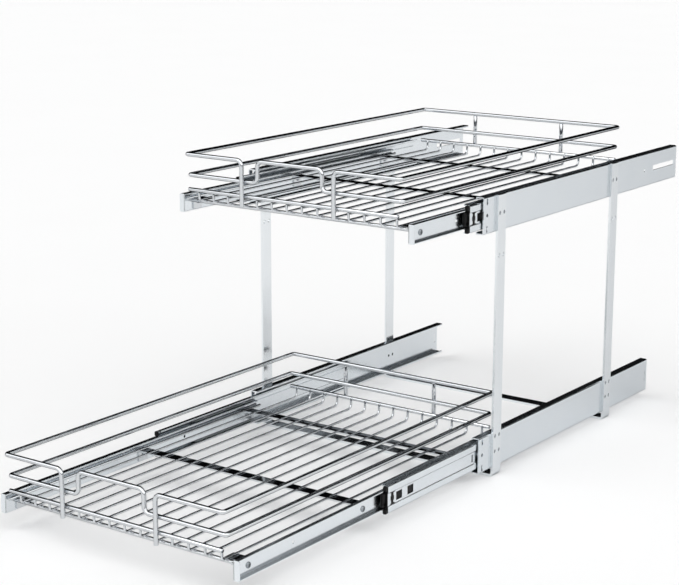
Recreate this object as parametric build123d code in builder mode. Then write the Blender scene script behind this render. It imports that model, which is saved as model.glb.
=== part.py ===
from build123d import *
import os

# Two-tier pull-out wire organiser for a kitchen base cabinet.
#
# X runs to the right as seen from the front, Y to the back of the cabinet and Z up.
# The origin is on the cabinet floor, in the middle of the four floor screws.  Both
# baskets are drawn where they are left when the organiser is in use: the lower one
# pulled right out, the upper one pulled part way.

os.makedirs("parts", exist_ok=True)

# ---------------------------------------------------------------- driving sizes (mm)

# Frame
overall_width = 358.0  # over the outsides of the uprights
strap_width = 18.0  # flat steel that is bent into the two U-shaped straps
strap_thickness = 3.2
strap_bend_radius = 2.0  # inside of the bends at the floor
edge_window = 0.1  # how far from its height a bend's edge is looked for
strap_pitch = 288.0  # front strap to rear strap
strap_inset = 37.0  # middle of the front strap behind the front of the rails
floor_screw_spacing = 240.0  # screw holes in the part of each strap that lies on the floor
floor_screw_radius = 2.5
upright_drop = 0.6  # uprights end this far below the top of the upper rail

# Rails and telescopic slides
rail_height = 45.0
slide_thickness = 12.7
rail_sheet = 1.5
member_sheet = 1.2  # sheet of the middle and inner members
rail_corner_radius = 2.0
rail_depth = 10.8  # flanges of the rail, a little short of the slide's open side
rail_lip = 1.3  # edge of each rail flange, turned in to hold the balls
outer_race_gap = 4.6  # room for a row of balls between rail and middle member
inner_race_gap = 4.0  # and between middle and inner member
web_gap = 1.2  # room between the webs of rail and middle member
lower_rail_length = 450.0
upper_rail_length = 515.0
lower_rail_z = 33.0  # centre line of the lower slides
upper_rail_z = 327.6
slide_length = 450.0  # inner member
slide_travel = 450.0
closed_overhang = 1.0  # front of the inner member ahead of the front of the rail, closed
middle_length = 400.0
middle_closed_inset = 47.0
middle_share = 0.525  # of the basket's travel that the middle member makes
middle_flange_inset = 1.2  # middle member's flanges stop short of the slide's open side
middle_lip = 1.2  # edge of each middle flange, turned out
band_height = 16.0  # recessed band along the middle member's web
band_depth = 0.8
inner_depth = 6.5
lower_pull = 450.0  # how far each basket is pulled out as drawn
upper_pull = 138.5

# Cut-outs in the rails and members
rail_slot_width = 3.0
rail_slot_height = 7.0
rail_slot_inset = 8.0  # from the front of the rail
rear_slit_inset = 6.0  # from the end of the lower rail
rail_slot_offset = 16.5  # above and below the centre line
rail_hole_radius = 2.0
rear_slot_length = 65.0  # fixing slot at the back of the upper rails
rear_slot_height = 6.5
rear_slot_end_gap = 7.0
rear_hole_radius = 2.5
rear_hole_inset = 97.0
window_length = 12.0  # two windows near the front of the middle member
window_height = 10.0
window_insets = (23.0, 46.0)
middle_slot_inset = 180.0
middle_slot_width = 3.0
middle_slot_height = 9.0
spare_hole_insets = (98.0, 303.0)
spare_hole_radius = 1.8

# Front tab, screws and lever of the inner member
tab_height = 21.0
tab_depth = 8.0
screw_insets = (22.5, 224.5, 426.5)
screw_drop = 1.0  # below the centre line
screw_radius = 2.0
screw_head_radius = 3.6
screw_head_height = 1.6
screw_clearance = 0.05
screw_sides = 6
hole_sides = 8
lever_pivot_inset = 276.0
lever_pivot_radius = 1.8
lever_pivot_clearance = 0.12
lever_pivot_sides = 12
lever_boss_radius = 4.6
lever_thickness = 3.4
lever_reach = 31.0  # pivot to the tip of the tongue
lever_tail = 11.0
lever_bar_height = 3.4
lever_gap = 0.3

# End nose of the middle member
nose_thickness = 2.5
nose_bumper_length = 8.0
nose_tongue_length = 56.0
nose_gap = 0.3

# Balls and their cages
ball_clearance = 0.3
cage_length = 120.0
cage_strip = 0.8
outer_cage_web = 0.6
inner_cage_web = 0.7
cage_web_gap = 0.4
balls_per_row = 3
ball_pitch = 40.0
ball_pocket_gap = 0.3
cage_edge = 3.4  # strip beyond the ball centres
outer_ball_depth = 7.0  # ball centres, from the outside of the rail's web
inner_ball_depth = 8.6
outer_cage_inset = 100.0  # middle of each cage behind the rail's front, basket right out
cage_end_gap = 4.0  # inner cages short of the inner members' ends, basket right out
ball_sides = 6
ball_bevel_share = 0.5  # of its radius

# Baskets
deck_wire = 2.8
frame_wire = 3.0  # side wires of the deck
lip_wire = 5.0
cross_wire = 4.5  # under the deck wires, behind their front bends
cross_wire_gap = 0.2  # the cross wire passes just in front of the brackets
guard_wire = 5.2
wire_sides = 8
weld_sink = 0.3  # how far welded wires press into each other
guard_side_gap = 8.6  # wire centre to the inside of the slide
guard_length = 521.0  # front run to back run of the top wire
guard_overhang = 4.7  # front of the guard ahead of the front of the slide
guard_bend = 7.0  # where the wire turns up or down
guard_corner_bend = 3.0  # level corners of the loops
bend_middle_share = 0.293  # of its radius that a square bend passes inside the corner
deck_wire_count = 14
left_deck_gap = 11.9  # outermost deck wires inside the guard's sides
right_deck_gap = 9.15
deck_rear_bend = 5.0
deck_above_slide = 5.7  # deck wires above the slide's centre line
deck_end_above_lip = 1.0
lip_above_deck = 12.2
lower_guard_above_deck = 30.0
upper_guard_above_deck = 55.7
left_lip_overhang = 1.1  # lip wires past the middle of the guard's left side
front_lip_gap = 4.9  # right ends of the lip wires inside the guard's right side
rear_lip_gap = 0.5
post_left_x = -70.0  # front ends of the top wire, turned down to the deck
post_right_x = 64.0
bridge_left_x = -50.0  # raised middle of the lower guard wire
bridge_right_x = 44.0
stay_x = 68.5
side_wire_inset = 2.0
cross_bar_width = 15.0
cross_bar_sheet = 2.0
cross_bar_drop = 14.0
front_bracket_length = 24.0  # the first pair of screws holds two short brackets

# Rivets
rivet_radius = 1.9
rivet_sides = 6
rivet_spacing = 9.5
lower_rivet_rows = (18.6, -0.8)  # from the lower rail's centre line
upper_rivet_rows = (0.0,)
spare_rivet_row = -51.2  # open holes below the upper rail

# ---------------------------------------------------------------- worked-out sizes

rail_x = overall_width / 2 - strap_thickness
rail_half = rail_height / 2
middle_half = rail_half - rail_sheet - outer_race_gap
inner_half = middle_half - member_sheet - inner_race_gap
race_gaps = {"outer": outer_race_gap, "inner": inner_race_gap}
ball_radii = {kind: gap / 2 - ball_clearance for kind, gap in race_gaps.items()}
ball_rows = {
    "outer": rail_half - rail_sheet - outer_race_gap / 2,
    "inner": middle_half - member_sheet - inner_race_gap / 2,
}
ball_depths = {"outer": outer_ball_depth, "inner": inner_ball_depth}

middle_web = rail_sheet + web_gap  # depths in from the outside of the rail's web
middle_edge = slide_thickness - middle_flange_inset
band_web = middle_web + band_depth
inner_web = slide_thickness - member_sheet
inner_edge = slide_thickness - inner_depth

inner_cage_inset = slide_length - slide_travel - closed_overhang - cage_end_gap - cage_length / 2

bar_half = rail_x - slide_thickness
guard_half_width = bar_half - guard_side_gap
guard_offset = (guard_wire + lip_wire) / 2 - weld_sink
deck_end_inset = (lip_wire + deck_wire) / 2 - weld_sink
lip_left_x = -(guard_half_width + left_lip_overhang)
lip_right_x = {"front": guard_half_width - front_lip_gap, "rear": guard_half_width - rear_lip_gap}
first_deck_wire_x = -(guard_half_width - left_deck_gap)
deck_wire_pitch = (guard_half_width - right_deck_gap - first_deck_wire_x) / (deck_wire_count - 1)
rail_front = -(strap_pitch / 2 + strap_inset)
strap_positions = {"front": -strap_pitch / 2, "rear": strap_pitch / 2}
tiers = {"lower": (lower_rail_z, lower_pull), "upper": (upper_rail_z, upper_pull)}
rail_lengths = {"lower": lower_rail_length, "upper": upper_rail_length}
sides = {"left": -1, "right": 1}


def across(side, y, z):
    """Plane across a slide: x runs in from the outside of the rail's web, y runs up."""
    return Plane(origin=(side * rail_x, y, z), x_dir=(-side, 0, 0), z_dir=(0, side, 0))


def along(x, y, z):
    """Plane along a slide: x runs to the back and y runs up."""
    return Plane(origin=(x, y, z), x_dir=(0, 1, 0), z_dir=(1, 0, 0))


def web_x(side, depth):
    """X of the point at a depth in from the outside of the rail's web."""
    return side * (rail_x - depth)


def middle_front(tier):
    """Y of the front of a tier's middle members."""
    return rail_front + middle_closed_inset - middle_share * tiers[tier][1]


def inner_front(tier):
    """Y of the front of a tier's inner members."""
    return rail_front - closed_overhang - tiers[tier][1]


# ---------------------------------------------------------------- frame


def make_strap(y):
    """Flat strip bent into a U: two uprights and the part that lies on the floor."""
    height = upper_rail_z + rail_half - upright_drop
    with BuildPart() as strap:
        with BuildSketch(Plane.XZ.offset(-y)):
            with Locations((0, height / 2)):
                Rectangle(overall_width, height)
            with Locations((0, (height + strap_thickness) / 2)):
                Rectangle(
                    overall_width - 2 * strap_thickness,
                    height - strap_thickness,
                    mode=Mode.SUBTRACT,
                )
        extrude(amount=strap_width / 2, both=True)
        bends = strap.edges().filter_by(Axis.Y).group_by(Axis.Z)
        fillet(bends[0], strap_bend_radius + strap_thickness)
        inside = strap.edges().filter_by(Axis.Y).filter_by_position(
            Axis.Z, strap_thickness - edge_window, strap_thickness + edge_window
        )
        fillet(inside, strap_bend_radius)
        with BuildSketch(Plane.XY):
            with Locations((0, y)):
                with GridLocations(floor_screw_spacing, 0, 2, 1):
                    Circle(floor_screw_radius)
        extrude(amount=strap_thickness, mode=Mode.SUBTRACT)
        rows = [row for tier in tiers for row in rivet_rows(tier)]
        with BuildSketch(along(-overall_width, y, 0)):
            for row in rows + [upper_rail_z + spare_rivet_row]:
                with Locations((0, row)):
                    with GridLocations(rivet_spacing, 0, 2, 1):
                        RegularPolygon(rivet_radius, rivet_sides)
        extrude(amount=2 * overall_width, mode=Mode.SUBTRACT)
    return strap.part


def rivet_rows(tier):
    """Heights of the rows of rivets that hold a tier's rails."""
    rows = lower_rivet_rows if tier == "lower" else upper_rivet_rows
    return [tiers[tier][0] + row for row in rows]


def make_rail(tier, side):
    """Outer member: a C-section open towards the basket, riveted inside the uprights."""
    z = tiers[tier][0]
    length = rail_lengths[tier]
    flange = rail_half - rail_sheet
    lip_start = rail_depth - rail_sheet
    with BuildPart() as rail:
        with BuildSketch(across(side, rail_front, z)) as section:
            with BuildLine():
                Polyline(
                    (0, 0),
                    (0, rail_half),
                    (rail_depth, rail_half),
                    (rail_depth, flange - rail_lip),
                    (lip_start, flange - rail_lip),
                    (lip_start, flange),
                    (rail_sheet, flange),
                    (rail_sheet, 0),
                    close=True,
                )
            make_face()
            mirror(about=Plane.XZ)
            outer_corners = section.vertices().group_by(Axis.X)[0]
            fillet(outer_corners, rail_corner_radius)
        extrude(amount=side * length)
        with BuildSketch(along(side * rail_x, rail_front, z)):
            with Locations((rail_slot_inset, rail_slot_offset), (rail_slot_inset, -rail_slot_offset)):
                Rectangle(rail_slot_width, rail_slot_height)
            with Locations((rail_slot_inset, 0)):
                RegularPolygon(rail_hole_radius, hole_sides)
            if tier == "lower":
                with Locations((length - rear_slit_inset, 0)):
                    Rectangle(rail_slot_width, 2 * rail_slot_height)
            else:
                with Locations((length - rear_slot_end_gap - rear_slot_length / 2, 0)):
                    Rectangle(rear_slot_length, rear_slot_height)
                with Locations((length - rear_hole_inset, 0)):
                    RegularPolygon(rear_hole_radius, hole_sides)
            for strap_y in strap_positions.values():
                for row in rivet_rows(tier):
                    with Locations((strap_y - rail_front, row - z)):
                        with GridLocations(rivet_spacing, 0, 2, 1):
                            RegularPolygon(rivet_radius, rivet_sides)
        extrude(amount=rail_sheet, both=True, mode=Mode.SUBTRACT)
    return rail.part


def make_rivets():
    """Flush rivets that hold the four rails to the uprights."""
    rows = [row for tier in tiers for row in rivet_rows(tier)]
    with BuildPart() as rivets:
        for side in sides.values():
            with BuildSketch(along(web_x(side, rail_sheet), 0, 0)):
                for strap_y in strap_positions.values():
                    for row in rows:
                        with Locations((strap_y, row)):
                            with GridLocations(rivet_spacing, 0, 2, 1):
                                RegularPolygon(rivet_radius, rivet_sides)
            extrude(amount=side * (rail_sheet + strap_thickness))
    return rivets.part


# ---------------------------------------------------------------- telescopic slides


def make_middle(tier, side):
    """Middle member: a C-section that runs in the rail, with a recessed band."""
    z = tiers[tier][0]
    front = middle_front(tier)
    inner_face = middle_half - member_sheet
    web_back = middle_web + member_sheet
    band_back = band_web + member_sheet
    band_half = band_height / 2
    with BuildPart() as middle:
        with BuildSketch(across(side, front, z)):
            with BuildLine():
                Polyline(
                    (band_web, 0),
                    (band_web, band_half - band_depth),
                    (middle_web, band_half),
                    (middle_web, middle_half),
                    (middle_edge - member_sheet, middle_half),
                    (middle_edge - member_sheet, middle_half + middle_lip),
                    (middle_edge, middle_half + middle_lip),
                    (middle_edge, inner_face),
                    (web_back, inner_face),
                    (web_back, band_half),
                    (band_back, band_half - band_depth),
                    (band_back, 0),
                    close=True,
                )
            make_face()
            mirror(about=Plane.XZ)
        extrude(amount=side * middle_length)
        with BuildSketch(along(web_x(side, band_web), front, z)):
            for inset in window_insets:
                with Locations((inset, 0)):
                    Rectangle(window_length, window_height)
            with Locations((middle_slot_inset, 0)):
                Rectangle(middle_slot_width, middle_slot_height)
        extrude(amount=2 * member_sheet, both=True, mode=Mode.SUBTRACT)
    return middle.part


def make_nose(tier, side):
    """Black moulded nose on the front of the middle member."""
    z = tiers[tier][0]
    front = middle_front(tier)
    tongue_face = band_web + member_sheet
    tongue_back = inner_edge - nose_gap
    opening = inner_half + nose_gap
    with BuildPart() as nose:
        with BuildSketch(across(side, front, z)):
            with Locations(((middle_web + middle_edge) / 2, 0)):
                Rectangle(middle_edge - middle_web, 2 * middle_half)
            with Locations(((tongue_back + middle_edge) / 2, 0)):
                Rectangle(middle_edge - tongue_back, 2 * opening, mode=Mode.SUBTRACT)
        extrude(amount=-side * nose_thickness)
        bumper_half = inner_half - member_sheet - nose_gap
        with BuildSketch(across(side, front - nose_thickness, z)):
            with Locations((tongue_back, 0)):
                Rectangle(2 * nose_gap + member_sheet, 2 * bumper_half)
        extrude(amount=-side * (nose_bumper_length - nose_thickness))
        with BuildSketch(across(side, front, z)):
            with Locations(((tongue_face + tongue_back) / 2, 0)):
                Rectangle(tongue_back - tongue_face, band_height - 4 * band_depth)
        extrude(amount=side * nose_tongue_length)
    return nose.part


def make_inner(tier, side):
    """Inner member: a C-section open outwards, with a front tab and a lever pivot."""
    z = tiers[tier][0]
    front = inner_front(tier)
    with BuildPart() as inner:
        with BuildSketch(across(side, front, z)):
            with Locations(((inner_edge + slide_thickness) / 2, 0)):
                Rectangle(inner_depth, 2 * inner_half)
            with Locations(((inner_edge + inner_web) / 2, 0)):
                Rectangle(inner_web - inner_edge, 2 * (inner_half - member_sheet), mode=Mode.SUBTRACT)
        extrude(amount=side * slide_length)
        with BuildSketch(across(side, front, z)):
            with Locations((slide_thickness - tab_depth / 2, 0)):
                Rectangle(tab_depth, tab_height)
        extrude(amount=side * member_sheet)
        with BuildSketch(along(web_x(side, slide_thickness), front, z)):
            for inset in screw_insets:
                with Locations((inset, -screw_drop)):
                    RegularPolygon(screw_radius + screw_clearance, screw_sides)
            for inset in spare_hole_insets:
                with Locations((inset, 0)):
                    RegularPolygon(spare_hole_radius, hole_sides)
        extrude(amount=side * member_sheet, mode=Mode.SUBTRACT)
        with BuildSketch(along(web_x(side, inner_web), front + lever_pivot_inset, z)):
            RegularPolygon(lever_pivot_radius, lever_pivot_sides)
        extrude(amount=side * (lever_gap + lever_thickness))
    return inner.part


def make_lever(tier, side):
    """Release lever that turns on the inner member's pivot."""
    z = tiers[tier][0]
    pivot_y = inner_front(tier) + lever_pivot_inset
    half = lever_bar_height / 2
    with BuildPart() as lever:
        with BuildSketch(along(web_x(side, inner_web - lever_gap), pivot_y, z)):
            RegularPolygon(lever_boss_radius, lever_pivot_sides)
            with BuildLine():
                Polyline(
                    (lever_tail, half),
                    (0, half),
                    (-lever_reach / 2, half),
                    (-lever_reach, -half),
                    (-lever_reach, -2 * half),
                    (-lever_reach / 2, -half),
                    (lever_tail, -half),
                    close=True,
                )
            make_face()
            bore_radius = lever_pivot_radius + lever_pivot_clearance
            RegularPolygon(bore_radius, lever_pivot_sides, mode=Mode.SUBTRACT)
        extrude(amount=side * lever_thickness)
    return lever.part


# ---------------------------------------------------------------- balls and cages


def cage_middle(kind, tier):
    """Y of the middle of a cage, which rolls half as far as the two members it joins."""
    closing = slide_travel - tiers[tier][1]
    if kind == "outer":
        return rail_front + outer_cage_inset + closing * middle_share / 2
    return rail_front + inner_cage_inset + closing * (1 + middle_share) / 2


def make_cage(kind, tier, side):
    """Thin strip folded along a slide's race, with a pocket for each ball."""
    z = tiers[tier][0]
    middle = cage_middle(kind, tier)
    if kind == "outer":
        web_from = rail_sheet + (web_gap - outer_cage_web) / 2
        web_to = web_from + outer_cage_web
        strip_end = outer_ball_depth + cage_edge
    else:
        web_from = band_web + member_sheet + cage_web_gap
        web_to = web_from + inner_cage_web
        strip_end = middle_edge - cage_web_gap
    row = ball_rows[kind]
    pocket = 2 * (ball_radii[kind] + ball_pocket_gap)
    with BuildPart() as cage:
        with BuildSketch(across(side, middle, z)):
            with Locations(((web_from + strip_end) / 2, 0)):
                Rectangle(strip_end - web_from, 2 * row + cage_strip)
            with Locations(((web_to + strip_end) / 2, 0)):
                Rectangle(strip_end - web_to, 2 * row - cage_strip, mode=Mode.SUBTRACT)
        extrude(amount=cage_length / 2, both=True)
        with BuildSketch(Plane.XY.offset(z)):
            with Locations((web_x(side, ball_depths[kind]), middle)):
                with GridLocations(0, ball_pitch, 1, balls_per_row):
                    Rectangle(pocket, pocket)
        extrude(amount=rail_half, both=True, mode=Mode.SUBTRACT)
    return cage.part


def make_ball(radius):
    """One bearing ball, as flat facets."""
    with BuildPart() as ball:
        with BuildSketch():
            RegularPolygon(radius, ball_sides)
        extrude(amount=radius, both=True)
        rims = ball.faces().filter_by(Axis.Z).edges()
        chamfer(rims, radius * ball_bevel_share)
    return ball.part


def make_balls(kind, tier, side):
    """Both rows of balls of one cage."""
    z = tiers[tier][0]
    middle = cage_middle(kind, tier)
    one_ball = make_ball(ball_radii[kind])
    with BuildPart() as balls:
        for level in (z - ball_rows[kind], z + ball_rows[kind]):
            with Locations((web_x(side, ball_depths[kind]), middle, level)):
                with GridLocations(0, ball_pitch, 1, balls_per_row):
                    add(one_ball)
    return balls.part


# ---------------------------------------------------------------- baskets


def straight_wire(start, end, diameter):
    """Length of round wire between two points."""
    direction = Vector(*end) - Vector(*start)
    with BuildPart() as wire:
        with BuildSketch(Plane(origin=start, z_dir=direction)):
            RegularPolygon(diameter / 2, wire_sides)
        extrude(amount=direction.length)
    return wire.part


def bent_wire(points, diameter, closed=False):
    """Round wire through points, bent square in two equal steps at each corner."""
    chain = [Vector(*point) for point in points]
    run = [(chain[-1] + chain[0]) / 2] if closed else [chain.pop(0)]
    before = [run[0]] + chain[:-1]
    after = chain[1:] + [run[0]]
    ends = 0 if closed else 1
    for last, corner, following in list(zip(before, chain, after))[: len(chain) - ends]:
        radius = guard_corner_bend if last.Z == following.Z else guard_bend
        to_last = (last - corner).normalized() * radius
        to_next = (following - corner).normalized() * radius
        run.append(corner + to_last)
        run.append(corner + (to_last + to_next) * bend_middle_share)
        run.append(corner + to_next)
    if not closed:
        run.append(chain[-1])
    with BuildPart() as wire:
        with BuildLine() as path:
            Polyline(*run, close=closed)
        with BuildSketch(Plane(origin=path.line @ 0, z_dir=path.line % 0)):
            RegularPolygon(diameter / 2, wire_sides)
        sweep(path=path.line, transition=Transition.RIGHT)
    return wire.part


def make_deck_wire(front, rear, z):
    """One deck wire, turned up at both ends inside the lip wires."""
    top = z + lip_above_deck + deck_end_above_lip
    with BuildPart() as wire:
        with BuildLine() as path:
            Polyline(
                (first_deck_wire_x, front, top),
                (first_deck_wire_x, front, z),
                (first_deck_wire_x, rear - deck_rear_bend, z),
                (first_deck_wire_x, rear, z + deck_rear_bend),
                (first_deck_wire_x, rear, top),
            )
        with BuildSketch(Plane(origin=path.line @ 0, z_dir=path.line % 0)):
            RegularPolygon(deck_wire / 2, wire_sides)
        sweep(path=path.line, transition=Transition.RIGHT)
    return wire.part


def make_basket(tier):
    """Every wire of one basket, by node name."""
    slide_z = tiers[tier][0]
    slide_front = inner_front(tier)
    z = slide_z + deck_above_slide
    front = slide_front - guard_overhang
    rear = front + guard_length
    lip_front = front + guard_offset
    lip_rear = rear - guard_offset
    lip_z = z + lip_above_deck
    low_z = z + lower_guard_above_deck
    top_z = z + upper_guard_above_deck
    under_deck = z - deck_wire / 2 + weld_sink
    side_x = bar_half - cross_bar_sheet - frame_wire / 2

    one_deck_wire = make_deck_wire(lip_front + deck_end_inset, lip_rear - deck_end_inset, z)
    with BuildPart() as deck:
        for number in range(deck_wire_count):
            with Locations((number * deck_wire_pitch, 0, 0)):
                add(one_deck_wire)

    with BuildPart() as lips:
        for y, right_x in ((lip_front, lip_right_x["front"]), (lip_rear, lip_right_x["rear"])):
            add(straight_wire((lip_left_x, y, lip_z), (right_x, y, lip_z), lip_wire))

    with BuildPart() as side_wires:
        for side in sides.values():
            start = (side * side_x, lip_front + side_wire_inset, z)
            end = (side * side_x, slide_front + slide_length, z)
            add(straight_wire(start, end, frame_wire))

    cross_y = slide_front + screw_insets[0] - (cross_bar_width + cross_wire) / 2 - cross_wire_gap
    cross_z = under_deck - cross_wire / 2
    front_cross_wire = straight_wire((-bar_half, cross_y, cross_z), (bar_half, cross_y, cross_z), cross_wire)

    with BuildPart() as cross_bars:
        for inset in screw_insets:
            with BuildSketch(Plane.XZ.offset(-(slide_front + inset))):
                with Locations((0, under_deck - cross_bar_drop / 2)):
                    Rectangle(2 * bar_half, cross_bar_drop)
                with Locations((0, under_deck - (cross_bar_drop + cross_bar_sheet) / 2)):
                    Rectangle(
                        2 * (bar_half - cross_bar_sheet),
                        cross_bar_drop - cross_bar_sheet,
                        mode=Mode.SUBTRACT,
                    )
            extrude(amount=cross_bar_width / 2, both=True)
        with BuildSketch(Plane.XZ.offset(-(slide_front + screw_insets[0]))):
            with Locations((0, under_deck - cross_bar_drop / 2)):
                Rectangle(2 * (bar_half - front_bracket_length), 2 * cross_bar_drop)
        extrude(amount=cross_bar_width, both=True, mode=Mode.SUBTRACT)
        with BuildSketch(along(-bar_half, slide_front, slide_z)):
            for inset in screw_insets:
                with Locations((inset, -screw_drop)):
                    RegularPolygon(screw_radius + screw_clearance, screw_sides)
        extrude(amount=2 * bar_half, mode=Mode.SUBTRACT)

    with BuildPart() as screws:
        for side in sides.values():
            with BuildSketch(along(web_x(side, inner_web), slide_front, slide_z)):
                for inset in screw_insets:
                    with Locations((inset, -screw_drop)):
                        RegularPolygon(screw_head_radius, screw_sides)
            extrude(amount=side * screw_head_height)
            with BuildSketch(along(web_x(side, inner_web), slide_front, slide_z)):
                for inset in screw_insets:
                    with Locations((inset, -screw_drop)):
                        RegularPolygon(screw_radius, screw_sides)
            extrude(amount=-side * (member_sheet + cross_bar_sheet + screw_radius / 2))

    top_guard = bent_wire(
        [
            (post_left_x, front, z),
            (post_left_x, front, top_z),
            (-guard_half_width, front, top_z),
            (-guard_half_width, rear, top_z),
            (guard_half_width, rear, top_z),
            (guard_half_width, front, top_z),
            (post_right_x, front, top_z),
            (post_right_x, front, z),
        ],
        guard_wire,
    )
    low_guard = bent_wire(
        [
            (-guard_half_width, lip_rear, low_z),
            (-guard_half_width, lip_front, low_z),
            (bridge_left_x, lip_front, low_z),
            (bridge_left_x, lip_front, top_z),
            (bridge_right_x, lip_front, top_z),
            (bridge_right_x, lip_front, low_z),
            (guard_half_width, lip_front, low_z),
            (guard_half_width, lip_rear, low_z),
        ],
        guard_wire,
        closed=True,
    )

    with BuildPart() as stays:
        stay_bottom = lip_z - lip_wire / 2
        stay_top = top_z - guard_wire / 2 + weld_sink
        for side in sides.values():
            x = side * stay_x
            add(straight_wire((x, rear, stay_bottom), (x, rear, stay_top), guard_wire))

    return {
        "deck_wires": deck.part,
        "lip_wires": lips.part,
        "side_wires": side_wires.part,
        "front_cross_wire": front_cross_wire,
        "cross_bars": cross_bars.part,
        "slide_screws": screws.part,
        "top_guard_wire": top_guard,
        "low_guard_wire": low_guard,
        "rear_stays": stays.part,
    }


# ---------------------------------------------------------------- the organiser

pieces = {"rail_rivets": make_rivets()}
for place, strap_y in strap_positions.items():
    pieces[f"{place}_strap"] = make_strap(strap_y)
for tier in tiers:
    for name, piece in make_basket(tier).items():
        pieces[f"{tier}_{name}"] = piece
    for side_name, side in sides.items():
        pieces[f"{tier}_rail_{side_name}"] = make_rail(tier, side)
        pieces[f"{tier}_middle_member_{side_name}"] = make_middle(tier, side)
        pieces[f"{tier}_slide_nose_{side_name}"] = make_nose(tier, side)
        pieces[f"{tier}_inner_member_{side_name}"] = make_inner(tier, side)
        pieces[f"{tier}_release_lever_{side_name}"] = make_lever(tier, side)
        for kind in ("outer", "inner"):
            pieces[f"{tier}_{kind}_cage_{side_name}"] = make_cage(kind, tier, side)
            pieces[f"{tier}_{kind}_balls_{side_name}"] = make_balls(kind, tier, side)

for name, piece in pieces.items():
    piece.label = name
    export_step(piece, f"parts/{name}.step")
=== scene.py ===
# %% [markdown]
# # A two-tier pull-out wire organiser
# Two chrome wire baskets run on telescopic ball slides inside two bent steel straps.
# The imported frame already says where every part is, so each piece here is drawn at its
# real place, in millimetres, and is made metres only when it is finished.

# %% Load the frame
import math

import bmesh
import bpy
from mathutils import Matrix, Vector


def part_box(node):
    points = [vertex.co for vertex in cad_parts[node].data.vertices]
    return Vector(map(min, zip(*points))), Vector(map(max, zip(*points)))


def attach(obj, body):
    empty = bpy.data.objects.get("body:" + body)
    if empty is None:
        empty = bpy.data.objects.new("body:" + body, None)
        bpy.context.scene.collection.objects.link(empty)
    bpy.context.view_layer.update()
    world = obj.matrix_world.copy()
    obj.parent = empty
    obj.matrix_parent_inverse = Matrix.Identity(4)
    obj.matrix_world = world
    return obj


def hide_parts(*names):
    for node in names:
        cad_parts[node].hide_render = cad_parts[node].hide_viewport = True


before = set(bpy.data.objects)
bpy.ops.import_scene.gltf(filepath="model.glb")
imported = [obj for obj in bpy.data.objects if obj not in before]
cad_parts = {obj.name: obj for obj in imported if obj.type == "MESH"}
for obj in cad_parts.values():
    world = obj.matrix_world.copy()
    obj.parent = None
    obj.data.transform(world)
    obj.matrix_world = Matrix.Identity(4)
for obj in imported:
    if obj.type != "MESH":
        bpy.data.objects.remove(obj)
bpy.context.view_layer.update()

# %% [markdown]
# ## Camera
# A camera was fitted to the straight edges of the rails and wires. Its matrix is built
# from a turn about Z, a tilt about X and a very small roll about the lens's own axis,
# which keeps each number readable, where one Euler triple would mix them.

# %% The camera
CAMERA_PLACE = (1.2187, -1.9097, 0.7109)
CAMERA_TURN = 35.88
CAMERA_TILT = 76.73
CAMERA_ROLL = 0.095
SENSOR_WIDTH = 36.0
LENS_IN_PIXELS = 1753.8
PHOTO_WIDTH = 679

scene = bpy.context.scene
lens = bpy.data.cameras.new("studio camera")
lens.sensor_width = SENSOR_WIDTH
lens.lens = LENS_IN_PIXELS / PHOTO_WIDTH * SENSOR_WIDTH
camera = bpy.data.objects.new("studio camera", lens)
scene.collection.objects.link(camera)
camera.matrix_world = (
    Matrix.Translation(CAMERA_PLACE)
    @ Matrix.Rotation(math.radians(CAMERA_TURN), 4, "Z")
    @ Matrix.Rotation(math.radians(CAMERA_TILT), 4, "X")
    @ Matrix.Rotation(math.radians(CAMERA_ROLL), 4, "Z")
)
scene.camera = camera
scene.view_settings.view_transform = "Standard"
print("lens:", round(lens.lens, 1), "mm")

# %% [markdown]
# ## Colours and nodes
# Colours are written as the sRGB hex values that the eye knows, and one function makes
# them linear for the shader. Another small function adds a node with its settings, its
# fixed inputs and its links, and three more put together what every material here needs:
# a soft pattern, a gloss that follows it and a shallow relief.

# %% Helpers for materials
PER_MM = 1000.0  # a pattern of one cycle a millimetre has this scale in Object coordinates


def linear(hex_colour):
    """Linear RGBA of an sRGB hex colour."""
    parts = [int(hex_colour[i : i + 2], 16) / 255 for i in (1, 3, 5)]
    return [((c + 0.055) / 1.055) ** 2.4 if c > 0.04045 else c / 12.92 for c in parts] + [1.0]


def put(tree, kind, inputs=None, links=None, **settings):
    """Adds one node to a tree: its settings, its fixed inputs and what is linked into it."""
    node = tree.nodes.new(kind)
    for key, value in settings.items():
        setattr(node, key, value)
    for socket, value in (inputs or {}).items():
        node.inputs[socket].default_value = value
    for socket, source in (links or {}).items():
        tree.links.new(source, node.inputs[socket])
    return node


def new_material(name):
    """An empty material, and its node tree."""
    material = bpy.data.materials.new(name)
    material.use_nodes = True
    material.node_tree.nodes.clear()
    return material, material.node_tree


def cloud(tree, place, scale, detail=2.0, roughness=0.5):
    """Soft noise over a place vector."""
    inputs = {"Scale": scale, "Detail": detail, "Roughness": roughness}
    return put(tree, "ShaderNodeTexNoise", inputs, {"Vector": place}).outputs["Fac"]


def gloss(tree, pattern, low, high):
    """A roughness that wanders between two values with a pattern."""
    inputs = {"From Min": 0.3, "From Max": 0.7, "To Min": low, "To Max": high}
    return put(tree, "ShaderNodeMapRange", inputs, {"Value": pattern}).outputs["Result"]


def relief(tree, pattern, strength):
    """A skin that rises and falls by at most a tenth of a millimetre."""
    inputs = {"Strength": strength, "Distance": 0.0001}
    return put(tree, "ShaderNodeBump", inputs, {"Height": pattern}).outputs["Normal"]


print("0.5 grey in linear light:", round(linear("#808080")[0], 3))
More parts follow.
